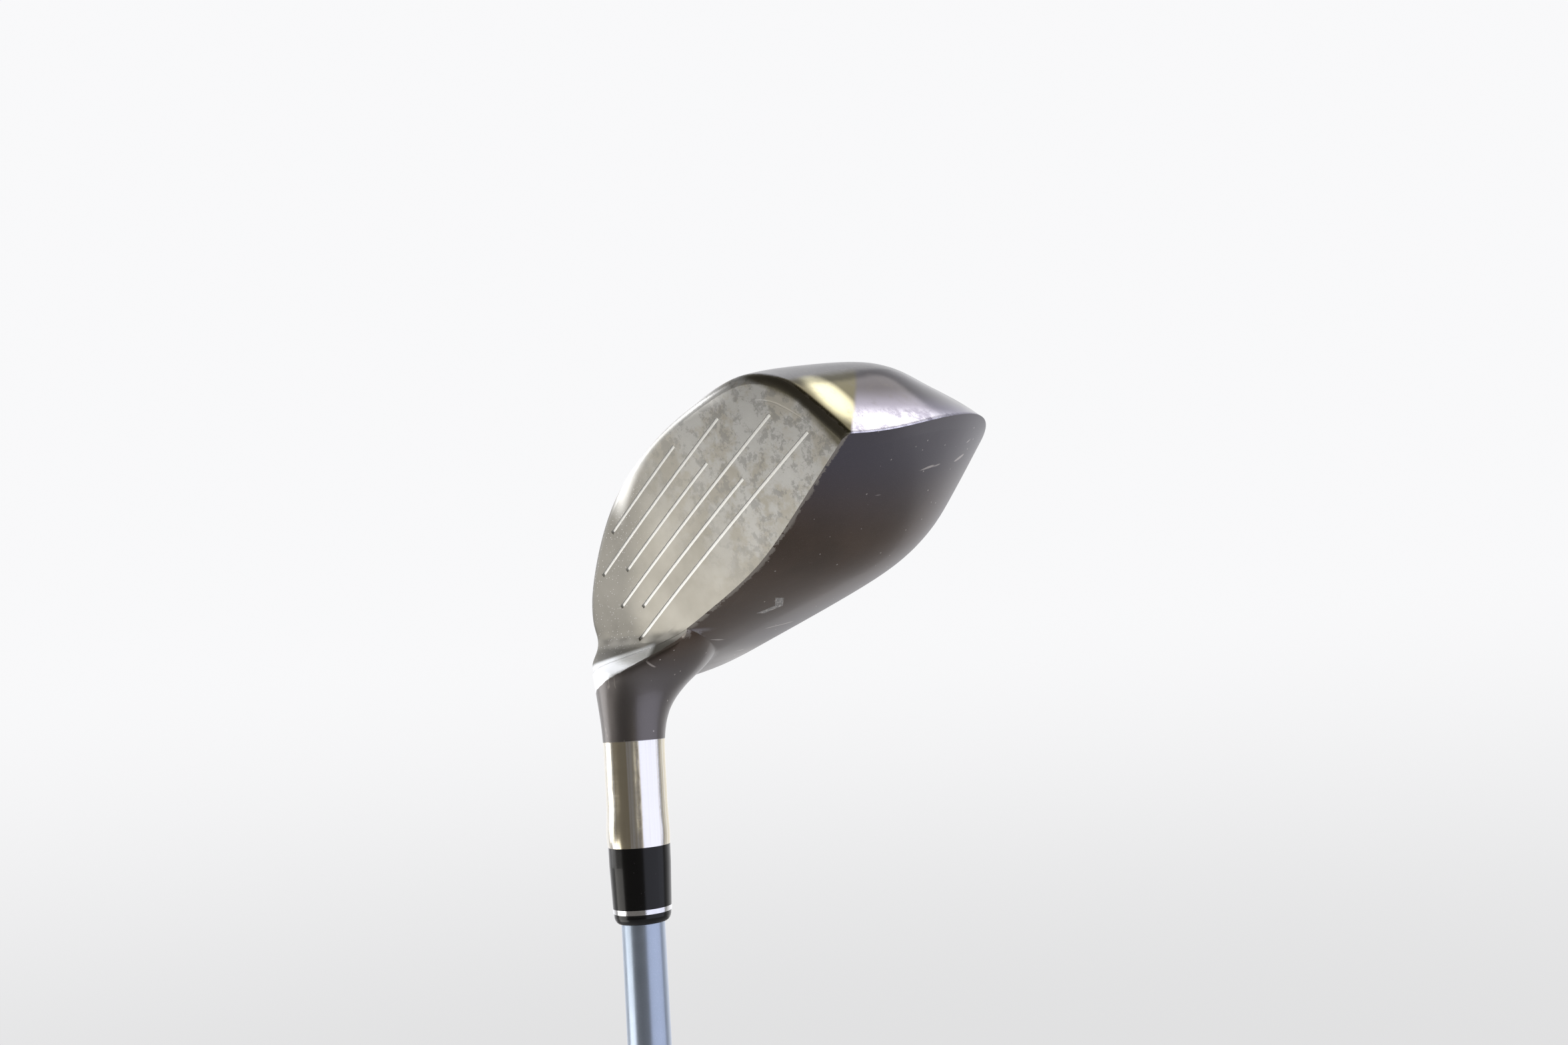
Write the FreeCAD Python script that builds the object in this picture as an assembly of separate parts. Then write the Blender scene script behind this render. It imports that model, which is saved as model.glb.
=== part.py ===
import FreeCAD, Part
import math
import os

# Hybrid golf club, standing on its butt end the way it stands in a bag.
# Origin: centre of the butt end face.  +Z runs up the shaft axis to the head.
# The toe points to +X and the striking face looks to -Y.  Millimetres.

V = FreeCAD.Vector

# ---------------------------------------------------------------- driving dimensions
CLUB_LENGTH = 1022.0        # butt end to the point where the shaft axis meets the ground
LIE_DEG = 60.0              # shaft axis to the ground at address
LOFT_DEG = 19.5             # face to the vertical
FACE_ADVANCE = 11.0         # face plane ahead of the shaft axis at ground level
FACE_RADIUS = 500.0         # bulge and roll
FACE_CENTRE_X = 36.5        # middle of the face, heel to toe
FACE_CENTRE_UP = 23.4       # middle of the face, up the face from the ground

HOSEL_R = 6.7
HOSEL_BAND_START = 50.5     # distances along the axis from the ground point
HOSEL_END = 72.9

SHAFT_TIP_S = 45.0
BORE_BOTTOM_S = 42.0
SHAFT_TIP_R = 4.7
SHAFT_TIP_PARALLEL = 120.0
SHAFT_BUTT_R = 7.62
SHAFT_WALL_TIP = 1.5
SHAFT_WALL_BUTT = 0.9

FERRULE_RING_S = 85.7
FERRULE_CAP_S = 86.7
FERRULE_TOP_S = 88.9
FERRULE_LOW_R = 6.7
FERRULE_HIGH_R = 6.05

WALL = 1.3
FACE_T = 2.3

GROOVE_PITCH = 4.046
GROOVE_W = 0.75
GROOVE_DEPTH = 0.40
GROOVE_FIRST_UP = 8.6       # up the face from the ground
GROOVE_ENDS = [             # heel end, toe end of each line, lowest first
    (2.2, 31.2), (-8.5, 44.0), (-1.3, 35.1),
    (-9.9, 53.7), (-4.3, 39.5), (-11.5, 57.5),
]

WEIGHT_R = 6.0
WEIGHT_H = 5.6
PORT_R = 6.1
PORT_BOSS_R = 7.9
PORT_DEPTH = 6.2
SCREW_R = 1.95
SCREW_LEN = 5.4             # thread length below the weight
SCREW_HEAD_R = 3.4
SCREW_HEAD_H = 2.3
THREAD_HOLE_R = 2.0
WEIGHT_HOLE_R = 2.05
COUNTERBORE_R = 3.7
SEAT_GAP = 0.05

GRIP_LENGTH = 268.0
GRIP_BUTT_R = 13.3
GRIP_BODY_R = 12.7
GRIP_MOUTH_R = 10.2
GRIP_TAPE_T = 0.25
CAP_H = 4.0
VENT_R = 1.6

SHAFT_BAND_LOW = 318.0      # printed band, heights from the butt
SHAFT_BAND_HIGH = 352.0
SHAFT_BAND_T = 0.15
TIP_WEIGHT_LEN = 14.0

# ---------------------------------------------------------------- head shape stations
# Front-to-back stations of the head at address (y forward, z up from the ground).
STATION_Y = [16.0, 8.0, 0.0, -8.0, -16.0, -24.0, -32.0, -40.0, -48.0, -54.0, -58.5, -61.5, -63.4]
TOE_X = [61.6, 62.4, 63.2, 64.2, 65.2, 66.1, 66.5, 66.0, 63.9, 60.2, 54.6, 47.0, 38.5]
HEEL_X = [-27.2, -27.4, -27.4, -27.2, -26.4, -24.8, -22.6, -19.2, -14.0, -8.2, -1.8, 6.0, 14.0]
CREST_Z = [33.6, 35.0, 36.1, 37.0, 37.4, 37.3, 36.6, 35.2, 32.6, 29.4, 26.3, 23.3, 20.8]
TOE_CREASE_Z = [32.9, 32.8, 32.5, 31.9, 30.6, 28.7, 26.6, 24.4, 22.2, 20.8, 19.8, 19.1, 18.9]
HEEL_CREASE_Z = [24.6, 25.8, 27.2, 29.2, 28.9, 28.0, 26.7, 24.9, 22.8, 20.9, 19.6, 19.0, 18.8]
SOLE_Z = [4.2, 2.2, 0.6, 0.0, 0.0, 0.7, 2.0, 4.0, 7.0, 10.0, 12.8, 15.2, 17.0]
CREST_X = 30.0
CREST_SOFTNESS = 0.25
SOLE_X = 18.0
TOE_CAMBER = 0.0062
HEEL_CAMBER = 0.0092
WALL_LEAN = 0.05            # how much the toe and heel walls lean in, going down
TOE_UNDERCUT = 0.32         # and the extra lean of the toe wall towards the rear
TOE_UNDERCUT_FROM_Y = -22.0
TOE_UNDERCUT_OVER = 26.0

CROWN_POINTS = 9
BOWL_POINTS = 17
NECK_AHEAD = 14.0           # the face runs this far forward into the front of the neck
NECK_AHEAD_FROM_S = 27.5    # over this stretch of the shaft axis
NECK_AHEAD_OVER = 12.5
NECK_AHEAD_SLOPE = 1.0      # and on forward above that, clear of the neck
NECK_SINK = 0.05            # the neck stays this far inside the front of the body
HEEL_ROUND = 0.10           # and the front falls away again round the heel side of the neck
HEEL_ROUND_FROM_S = 31.0
HEEL_ROUND_OVER = 8.0
HEEL_ROUND_REACH = 11.0     # no further out than this from the shaft axis
NECK_RING_POINTS = 32
NECK_STATIONS = [           # distance up the axis; reach to the toe, rear, heel and front
    (HOSEL_END, HOSEL_R, HOSEL_R, HOSEL_R, HOSEL_R), (66.0, HOSEL_R, HOSEL_R, HOSEL_R, HOSEL_R),
    (60.0, HOSEL_R, HOSEL_R, HOSEL_R, HOSEL_R), (55.0, HOSEL_R, HOSEL_R, HOSEL_R, HOSEL_R),
    (51.0, 6.75, 6.85, 6.80, 6.72), (48.0, 6.85, 7.35, 7.10, 6.80),
    (45.0, 7.05, 8.50, 7.60, 6.95), (42.5, 7.40, 10.2, 8.15, 7.10),
    (40.5, 7.90, 12.2, 8.60, 7.22), (38.5, 8.70, 14.6, 9.10, 7.32),
    (36.5, 9.90, 17.4, 9.60, 7.40), (34.5, 11.7, 19.8, 10.2, 7.40),
    (32.5, 14.2, 21.2, 10.6, 7.40), (30.5, 16.9, 21.4, 10.6, 7.40),
    (28.0, 18.6, 20.8, 10.0, 7.20), (25.0, 18.8, 19.2, 9.00, 6.80),
    (21.0, 17.5, 17.0, 7.00, 5.00),
]

# ---------------------------------------------------------------- outlines of the set-in pieces
FACE_PLATE = [              # heel-toe, up the face
    (57.0, 34.0), (45.0, 35.9), (30.0, 37.0), (15.0, 35.6), (0.0, 33.2), (-8.5, 31.4),
    (-13.0, 27.5), (-13.2, 20.0), (-11.0, 13.5), (-4.5, 8.8), (6.0, 5.9), (19.0, 5.2),
    (32.0, 6.6), (42.0, 9.6), (50.0, 14.0), (55.5, 19.4), (58.0, 25.0), (58.8, 31.0),
]
CROWN_PLATE = [             # heel-toe, front-back
    (59.5, -6.0), (62.0, -16.0), (63.2, -26.0), (63.2, -36.0), (61.4, -45.0), (56.5, -52.5),
    (47.0, -57.5), (34.0, -59.2), (20.0, -58.0), (9.0, -53.0), (3.5, -43.0), (2.0, -30.0),
    (3.0, -17.0), (8.0, -8.0), (20.0, -4.8), (35.0, -4.4), (50.0, -4.6),
]
SOLE_PLATE = [
    (10.0, -4.0), (28.0, -2.5), (39.0, -6.0), (42.0, -16.0), (42.0, -30.0), (39.0, -42.0),
    (30.0, -48.0), (18.0, -47.0), (10.5, -40.0), (8.0, -28.0), (8.0, -14.0),
]
ALIGNMENT_MARK = [          # chevron behind the topline
    (11.0, -14.4), (14.5, -17.0), (18.0, -14.4), (18.0, -16.7), (14.5, -19.3), (11.0, -16.7),
]
MARK_DEPTH = 0.35
TOE_PORT = (53.5, -30.0)
HEEL_PORT = (-4.0, -27.0)
PAD_AT = (27.0, -26.0)
PAD_R = 9.0
PAD_TOP_Z = 5.0
HOLLOW_FROM_X = -17.0
NECK_CORE_R = 7.4

# ---------------------------------------------------------------- frames
COS_LIE = math.cos(math.radians(LIE_DEG))
SIN_LIE = math.sin(math.radians(LIE_DEG))
COS_LOFT = math.cos(math.radians(LOFT_DEG))
SIN_LOFT = math.sin(math.radians(LOFT_DEG))
UP = V(0, 0, 1)


def to_club(x, y, z):
    """Head frame at address to the club frame."""
    return V(x * SIN_LIE + z * COS_LIE, -y, CLUB_LENGTH + x * COS_LIE - z * SIN_LIE)


def to_head(p):
    """Club frame to the head frame at address."""
    z = p.z - CLUB_LENGTH
    return p.x * SIN_LIE + z * COS_LIE, -p.y, p.x * COS_LIE - z * SIN_LIE


def direction_to_club(x, y, z):
    return to_club(x, y, z) - to_club(0, 0, 0)


def at_axis(s):
    """Height of the point at distance s up the axis from the ground."""
    return CLUB_LENGTH - s


def face_point(x, up):
    """Point on the face plane, head frame."""
    return x, FACE_ADVANCE - up * SIN_LOFT, up * COS_LOFT


FACE_NORMAL = (0.0, COS_LOFT, SIN_LOFT)


# ---------------------------------------------------------------- shape functions
def lookup(table, y):
    """Smooth value of a station table at y (Catmull-Rom)."""
    last = len(STATION_Y) - 1
    i = 0
    while i < last - 1 and y < STATION_Y[i + 1]:
        i += 1
    y0, y1 = STATION_Y[i], STATION_Y[i + 1]
    t = (y - y0) / (y1 - y0)
    slope_a = station_slope(table, i)
    slope_b = station_slope(table, i + 1)
    h = y1 - y0
    if t < 0.0:
        return table[i] + slope_a * h * t
    if t > 1.0:
        return table[i + 1] + slope_b * h * (t - 1.0)
    t2, t3 = t * t, t * t * t
    return ((2 * t3 - 3 * t2 + 1) * table[i] + (t3 - 2 * t2 + t) * h * slope_a
            + (3 * t2 - 2 * t3) * table[i + 1] + (t3 - t2) * h * slope_b)


def station_slope(table, i):
    lo = max(i - 1, 0)
    hi = min(i + 1, len(table) - 1)
    return (table[hi] - table[lo]) / (STATION_Y[hi] - STATION_Y[lo])


def crown_z(x, y, drop=0.0):
    """Height of the crown surface."""
    crest = lookup(CREST_Z, y)
    if x > CREST_X:
        span = lookup(TOE_X, y) - CREST_X
        fall = crest - lookup(TOE_CREASE_Z, y)
    else:
        span = CREST_X - lookup(HEEL_X, y)
        fall = crest - lookup(HEEL_CREASE_Z, y)
    u = abs(x - CREST_X) / span
    e = CREST_SOFTNESS
    bend = (math.hypot(u, e) - e) / (math.hypot(1.0, e) - e)
    return crest - fall * bend - drop


def sole_z(x, y, lift=0.0):
    """Height of the sole surface."""
    dx = x - SOLE_X
    camber = TOE_CAMBER if dx > 0 else HEEL_CAMBER
    rear = min(max((10.0 - y) / 46.0, 0.0), 1.0)
    camber *= 1.0 - 0.85 * rear
    return lookup(SOLE_Z, y) + camber * dx * dx + lift


def smooth_step(t):
    t = min(max(t, 0.0), 1.0)
    return t * t * (3.0 - 2.0 * t)


def smooth_max(a, b, k):
    h = max(k - abs(a - b), 0.0) / k
    return max(a, b) + h * h * k / 4.0


def toe_wall(x, y, z, inset):
    depth = max(lookup(TOE_CREASE_Z, y) - z, 0.0)
    lean = WALL_LEAN + TOE_UNDERCUT * smooth_step((TOE_UNDERCUT_FROM_Y - y) / TOE_UNDERCUT_OVER)
    return x - (lookup(TOE_X, y) - inset - lean * depth - 0.004 * depth * depth)


def heel_wall(x, y, z, inset):
    depth = max(lookup(HEEL_CREASE_Z, y) - z, 0.0)
    return (lookup(HEEL_X, y) + inset + WALL_LEAN * depth + 0.006 * depth * depth) - x


def bowl_value(x, y, z, inset):
    """Below zero inside the sole and side walls."""
    sole = (sole_z(x, y, inset) - z) / 1.1
    k = 9.0 * min(max((y + 66.0) / 20.0, 0.15), 1.0)
    side = max(toe_wall(x, y, z, inset), heel_wall(x, y, z, inset))
    return smooth_max(sole, side, k)


def solve(value, start, end):
    """Root of value() between start (inside) and end (outside)."""
    for _ in range(40):
        mid = 0.5 * (start + end)
        if value(mid) < 0.0:
            start = mid
        else:
            end = mid
    return 0.5 * (start + end)


# ---------------------------------------------------------------- head body
def section_crown(y, inset, drop):
    heel = lookup(HEEL_X, y) + inset
    toe = lookup(TOE_X, y) - inset
    points = []
    for i in range(CROWN_POINTS):
        x = heel + (toe - heel) * i / (CROWN_POINTS - 1)
        points.append((x, crown_z(x, y, drop)))
    return points


def section_bowl(y, inset, crown):
    """Outline from the toe crease round under the sole to the heel crease."""
    (heel_x, heel_z), (toe_x, toe_z) = crown[0], crown[-1]
    cx = 0.5 * (heel_x + toe_x)
    cz = max(0.5 * (toe_z + sole_z(cx, y, inset)), min(heel_z, toe_z) - 6.0)
    start = math.atan2(toe_z - cz, (toe_x - cx) * 0.3)
    stop = math.atan2(heel_z - cz, (heel_x - cx) * 0.3) - 2 * math.pi
    points = [(toe_x, toe_z)]
    for i in range(1, BOWL_POINTS - 1):
        angle = start + (stop - start) * i / (BOWL_POINTS - 1)
        dx, dz = math.cos(angle) / 0.3, math.sin(angle)
        r = solve(lambda q: bowl_value(cx + q * dx, y, cz + q * dz, inset), 0.0, 90.0)
        points.append((cx + r * dx, cz + r * dz))
    points.append((heel_x, heel_z))
    return points


def spline(points, parameters=None):
    curve = Part.BSplineCurve()
    if parameters:
        curve.interpolate(Points=points, Parameters=parameters)
    else:
        curve.interpolate(points)
    return curve.toShape()


def section_wire(y, inset, drop):
    crown = section_crown(y, inset, drop)
    bowl = section_bowl(y, inset, crown)
    crown_params = [i / (CROWN_POINTS - 1.0) for i in range(CROWN_POINTS)]
    bowl_params = [i / (BOWL_POINTS - 1.0) for i in range(BOWL_POINTS)]
    top = spline([to_club(x, y, z) for x, z in crown], crown_params)
    under = spline([to_club(x, y, z) for x, z in bowl], bowl_params)
    return Part.Wire([top, under])


def head_blank(inset=0.0, drop=0.0):
    """Closed body of the head, still running on ahead of the face."""
    last = STATION_Y[-1] + inset
    ys = [y for y in STATION_Y if y > last] + [last]
    return Part.makeLoft([section_wire(y, inset, drop) for y in ys], True, False)


def face_ball(thickness=0.0):
    """Ball whose surface is the striking face (or a surface behind it)."""
    x, y, z = face_point(FACE_CENTRE_X, FACE_CENTRE_UP)
    nx, ny, nz = FACE_NORMAL
    r = FACE_RADIUS
    centre = to_club(x - r * nx, y - r * ny, z - r * nz)
    axis = direction_to_club(0, 0, 1)
    return Part.makeSphere(r - thickness, centre, axis)


# ---------------------------------------------------------------- neck
def neck_ring(s, toe, rear, heel, front):
    """Ring of four quarter ellipses round the shaft axis."""
    points = []
    for i in range(NECK_RING_POINTS):
        angle = 2 * math.pi * i / NECK_RING_POINTS
        c, d = math.cos(angle), math.sin(angle)
        points.append(V((toe if c > 0 else heel) * c, (rear if d > 0 else front) * d, at_axis(s)))
    return points


def closed_wire(points):
    curve = Part.BSplineCurve()
    curve.interpolate(Points=points, PeriodicFlag=True)
    return Part.Wire(curve.toShape())


def make_neck():
    rings = [closed_wire(neck_ring(*station)) for station in reversed(NECK_STATIONS)]
    return Part.makeLoft(rings, True, False)


def front_y(x, z):
    """Front surface: the bulged face, running forward into the front of the neck."""
    cx, cy, cz = face_point(FACE_CENTRE_X, FACE_CENTRE_UP)
    r = FACE_RADIUS
    cy, cz = cy - r * COS_LOFT, cz - r * SIN_LOFT
    ball = cy + math.sqrt(r * r - (x - cx) ** 2 - (z - cz) ** 2)
    s = z * SIN_LIE - x * COS_LIE
    past = max(s - NECK_AHEAD_FROM_S - NECK_AHEAD_OVER, 0.0)
    ahead = NECK_AHEAD * smooth_step((s - NECK_AHEAD_FROM_S) / NECK_AHEAD_OVER)
    heelward = min(max(-(x * SIN_LIE + z * COS_LIE) - 1.0, 0.0), HEEL_ROUND_REACH)
    fall = HEEL_ROUND * heelward ** 2 * smooth_step((s - HEEL_ROUND_FROM_S) / HEEL_ROUND_OVER)
    return ball + ahead + NECK_AHEAD_SLOPE * past - fall


def behind_front(sink=0.0):
    """Everything behind the front surface, or behind a copy of it sunk a little."""
    rows = []
    for i in range(44):
        z = -18.0 + 3.0 * i
        xs = [-75.0 + 5.0 * j for j in range(34)]
        rows.append([to_club(x, front_y(x, z) - sink, z) for x in xs])
    surface = Part.BSplineSurface()
    surface.interpolate(rows)
    return surface.toShape().extrude(direction_to_club(0, -140.0, 0))


def head_with_neck():
    """Outside of the whole head, its leading edge rounded."""
    body = head_blank().common(behind_front())
    body = soften(body, leading_edges(body), (2.0, 1.4, 0.8))
    return body.fuse(make_neck().common(behind_front(NECK_SINK)))


# ---------------------------------------------------------------- small helpers
def barrel(radius, start, end):
    """Cylinder on the shaft axis between two distances up from the ground."""
    return Part.makeCylinder(radius, end - start, V(0, 0, at_axis(end)))


def turned(profile):
    """Solid of revolution about the shaft axis from (radius, height) points."""
    points = [V(r, 0, z) for r, z in profile]
    points.append(points[0])
    face = Part.Face(Part.makePolygon(points))
    return face.revolve(V(0, 0, 0), UP, 360)


def plan_prism(outline, z_low, z_high, straight=False):
    """Upright column on a plan outline, head frame."""
    points = [to_club(x, y, z_low) for x, y in outline]
    wire = Part.makePolygon(points + points[:1]) if straight else closed_wire(points)
    return Part.Face(wire).extrude(direction_to_club(0, 0, z_high - z_low))


def face_prism(outline, back, ahead):
    """Column square to the face on an outline drawn up the face."""
    nx, ny, nz = FACE_NORMAL
    points = []
    for x, up in outline:
        px, py, pz = face_point(x, up)
        points.append(to_club(px - back * nx, py - back * ny, pz - back * nz))
    depth = back + ahead
    return Part.Face(closed_wire(points)).extrude(direction_to_club(0, depth * ny, depth * nz))


def head_box(x0, x1):
    """Block that covers the whole head between two heel-toe positions."""
    corners = [to_club(x0, y, z) for y, z in ((-80, -20), (40, -20), (40, 70), (-80, 70))]
    face = Part.Face(Part.makePolygon(corners + corners[:1]))
    return face.extrude(direction_to_club(x1 - x0, 0, 0))


def soften(shape, edges, radii):
    """Round the edges with the first radius that gives a sound solid."""
    for radius in radii:
        try:
            rounded = shape.makeFillet(radius, edges)
        except Exception:
            continue
        if rounded.isValid() and rounded.Volume > 0.9 * shape.Volume:
            return rounded
    return shape


def leading_edges(head):
    """Edges between the front surface and the sole or toe wall."""
    found = []
    for edge in head.Edges:
        first, last = edge.FirstParameter, edge.LastParameter
        points = [to_head(edge.valueAt(first + (last - first) * k / 4.0)) for k in range(5)]
        on_front = all(abs(y - front_y(x, z)) < 1.0 for x, y, z in points)
        x, y, z = points[2]
        if on_front and crown_z(x, y) - z > 2.0:
            found.append(edge)
    return found


# ---------------------------------------------------------------- weight ports
def port_frame(spot):
    """Point on the sole and outward normal there, club frame."""
    x, y = spot
    z = solve(lambda q: bowl_value(x, y, q, 0.0), 18.0, -10.0)
    step = 0.05
    gx = bowl_value(x + step, y, z, 0.0) - bowl_value(x - step, y, z, 0.0)
    gy = bowl_value(x, y + step, z, 0.0) - bowl_value(x, y - step, z, 0.0)
    gz = bowl_value(x, y, z + step, 0.0) - bowl_value(x, y, z - step, 0.0)
    out = direction_to_club(gx, gy, gz)
    out.normalize()
    return to_club(x, y, z), out


def along(frame, radius, top, bottom):
    """Cylinder on a port axis between two depths below the sole."""
    point, out = frame
    return Part.makeCylinder(radius, bottom - top, point - out * bottom, out)


def make_weight(frame):
    top = PORT_DEPTH - SEAT_GAP - WEIGHT_H
    weight = along(frame, WEIGHT_R, top, top + WEIGHT_H)
    weight = weight.cut(along(frame, WEIGHT_HOLE_R, top - 1, top + WEIGHT_H + 1))
    return weight.cut(along(frame, COUNTERBORE_R, top - 1, top + SCREW_HEAD_H + 0.3))


def star_prism(frame, top, bottom):
    """Six-lobed driver recess."""
    point, out = frame
    side = out.cross(V(0, 1, 0))
    side.normalize()
    other = out.cross(side)
    base = point - out * bottom
    corners = []
    for i in range(12):
        r = 1.9 if i % 2 == 0 else 1.3
        a = math.pi * i / 6
        corners.append(base + side * (r * math.cos(a)) + other * (r * math.sin(a)))
    face = Part.Face(Part.makePolygon(corners + corners[:1]))
    return face.extrude(out * (bottom - top))


def make_screw(frame):
    weight_top = PORT_DEPTH - SEAT_GAP - WEIGHT_H
    seat = weight_top + SCREW_HEAD_H + 0.3 - SEAT_GAP
    head = along(frame, SCREW_HEAD_R, seat - SCREW_HEAD_H, seat)
    shank = along(frame, SCREW_R, seat - 0.5, PORT_DEPTH + SCREW_LEN)
    screw = head.fuse(shank).removeSplitter()
    return screw.cut(star_prism(frame, seat - SCREW_HEAD_H - 1, seat - 0.8))


def port_boss(frame):
    return along(frame, PORT_BOSS_R, -2.0, PORT_DEPTH + SCREW_LEN + 1.4)


def port_hole(frame):
    hole = along(frame, PORT_R, -3.0, PORT_DEPTH)
    return hole.fuse(along(frame, THREAD_HOLE_R, PORT_DEPTH - 0.5, PORT_DEPTH + SCREW_LEN + 0.5))


# ---------------------------------------------------------------- score lines
def groove(i):
    """Cutter for one score line, following the bulge of the face."""
    heel, toe = GROOVE_ENDS[i]
    up = GROOVE_FIRST_UP + i * GROOVE_PITCH
    half = 0.5 * GROOVE_W
    outline = [(heel, up - half), (toe, up - half), (toe, up + half), (heel, up + half)]
    points = []
    for x, u in outline:
        px, py, pz = face_point(x, u)
        points.append(to_club(px, py - 6 * COS_LOFT, pz - 6 * SIN_LOFT))
    block = Part.Face(Part.makePolygon(points + points[:1]))
    block = block.extrude(direction_to_club(0, 10 * COS_LOFT, 10 * SIN_LOFT))
    return block.cut(face_ball(GROOVE_DEPTH))


# ---------------------------------------------------------------- head pieces
def make_head(parts):
    outer = head_with_neck()
    hollow = head_blank(WALL, WALL).common(face_ball(FACE_T))
    hollow = hollow.common(head_box(HOLLOW_FROM_X, 90.0)).cut(barrel(NECK_CORE_R, 0.0, 60.0))
    shell = outer.cut(hollow)

    face_column = face_prism(FACE_PLATE, 6.0, 5.0)
    crown_column = plan_prism(CROWN_PLATE, 18.5, 50.0)
    sole_column = plan_prism(SOLE_PLATE, -10.0, 12.0)
    mark_column = plan_prism(ALIGNMENT_MARK, 20.0, 50.0, True)

    face_plate = shell.common(face_column)
    for i in range(len(GROOVE_ENDS)):
        face_plate = face_plate.cut(groove(i))
    crown = shell.common(crown_column)
    mark = crown.common(mark_column).cut(head_blank(0.0, MARK_DEPTH))
    parts["face_plate"] = face_plate
    parts["crown_plate"] = crown.cut(mark)
    parts["alignment_inlay"] = mark
    parts["sole_plate"] = shell.common(sole_column)
    pad = along((to_club(*PAD_AT, 0.0), direction_to_club(0, 0, -1)), PAD_R, -PAD_TOP_Z, 5.0)
    parts["hot_melt_pad"] = hollow.common(pad)

    body = shell.cut(face_column).cut(crown_column).cut(sole_column)
    for name, spot in (("toe", TOE_PORT), ("heel", HEEL_PORT)):
        frame = port_frame(spot)
        body = body.fuse(port_boss(frame).common(outer))
        body = body.cut(port_hole(frame))
        parts[name + "_weight"] = make_weight(frame)
        parts[name + "_weight_screw"] = make_screw(frame)
        point, out = frame
        print(name, "port", [round(v, 4) for v in point], [round(v, 6) for v in out])
    parts["body_casting"] = body.cut(barrel(SHAFT_TIP_R, BORE_BOTTOM_S, HOSEL_END + 1))


# ---------------------------------------------------------------- shaft, ferrule, grip
def shaft_radius(z):
    parallel_z = at_axis(SHAFT_TIP_PARALLEL)
    if z >= parallel_z:
        return SHAFT_TIP_R
    share = (z - CAP_H) / (parallel_z - CAP_H)
    return SHAFT_BUTT_R + (SHAFT_TIP_R - SHAFT_BUTT_R) * share


def make_shaft(parts):
    tip_z = at_axis(SHAFT_TIP_S)
    parallel_z = at_axis(SHAFT_TIP_PARALLEL)
    parts["shaft"] = turned([
        (SHAFT_BUTT_R, CAP_H), (SHAFT_TIP_R, parallel_z), (SHAFT_TIP_R, tip_z),
        (SHAFT_TIP_R - SHAFT_WALL_TIP, tip_z), (SHAFT_TIP_R - SHAFT_WALL_TIP, parallel_z),
        (SHAFT_BUTT_R - SHAFT_WALL_BUTT, CAP_H),
    ])
    parts["tip_weight"] = barrel(SHAFT_TIP_R - SHAFT_WALL_TIP, SHAFT_TIP_S, SHAFT_TIP_S + TIP_WEIGHT_LEN)
    parts["hosel_plug"] = barrel(SHAFT_TIP_R, BORE_BOTTOM_S, SHAFT_TIP_S)
    low, high, t = SHAFT_BAND_LOW, SHAFT_BAND_HIGH, SHAFT_BAND_T
    parts["shaft_band"] = turned([
        (shaft_radius(low), low), (shaft_radius(low) + t, low),
        (shaft_radius(high) + t, high), (shaft_radius(high), high),
    ])


def make_ferrule(parts):
    ring = at_axis(FERRULE_RING_S)
    cap = at_axis(FERRULE_CAP_S)
    top = at_axis(FERRULE_TOP_S)
    base = at_axis(HOSEL_END)
    inner = SHAFT_TIP_R
    parts["ferrule_body"] = turned([
        (inner, base), (FERRULE_LOW_R, base), (FERRULE_LOW_R - 0.05, base - 4.0),
        (FERRULE_HIGH_R + 0.25, ring), (inner, ring),
    ])
    parts["ferrule_ring"] = turned([
        (inner, ring), (FERRULE_HIGH_R + 0.3, ring), (FERRULE_HIGH_R + 0.25, cap), (inner, cap),
    ])
    profile = [(inner, top), (inner, cap), (FERRULE_HIGH_R + 0.15, cap)]
    for i in range(7):
        a = 0.5 * math.pi * i / 6
        profile.append((inner + 0.35 + (FERRULE_HIGH_R - inner - 0.25) * math.cos(a),
                        cap - 0.4 - (cap - top - 0.4) * math.sin(a)))
    parts["ferrule_cap"] = turned(profile)


def make_grip(parts):
    end = GRIP_LENGTH
    tape = GRIP_TAPE_T
    parts["grip_tape"] = turned([
        (shaft_radius(8.0), 8.0), (shaft_radius(8.0) + tape, 8.0),
        (shaft_radius(end - 6) + tape, end - 6), (shaft_radius(end - 6), end - 6),
    ])
    sleeve = turned([
        (shaft_radius(CAP_H), CAP_H), (GRIP_BUTT_R, CAP_H), (GRIP_BUTT_R, CAP_H + 6.0),
        (GRIP_BODY_R, CAP_H + 16.0), (GRIP_BODY_R - 0.5, 70.0), (GRIP_MOUTH_R + 0.2, end - 18.0),
        (GRIP_MOUTH_R, end - 3.0), (GRIP_MOUTH_R - 0.8, end), (shaft_radius(end), end),
    ])
    parts["grip"] = sleeve.cut(parts["grip_tape"])
    r = GRIP_BUTT_R
    parts["grip_cap"] = turned([
        (VENT_R, 0.0), (r - 2.0, 0.0), (r - 0.6, 0.6), (r, 2.0), (r, CAP_H), (VENT_R, CAP_H),
    ])


def main():
    parts = {}
    make_head(parts)
    make_shaft(parts)
    make_ferrule(parts)
    make_grip(parts)
    os.makedirs("parts", exist_ok=True)
    for name in sorted(parts):
        shape = parts[name]
        solids = len(shape.Solids)
        print(name, shape.isValid(), solids, round(shape.Volume, 1))
        shape.exportStep("parts/" + name + ".step")


main()
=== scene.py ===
import math

import bpy
from mathutils import Matrix, Vector

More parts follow.
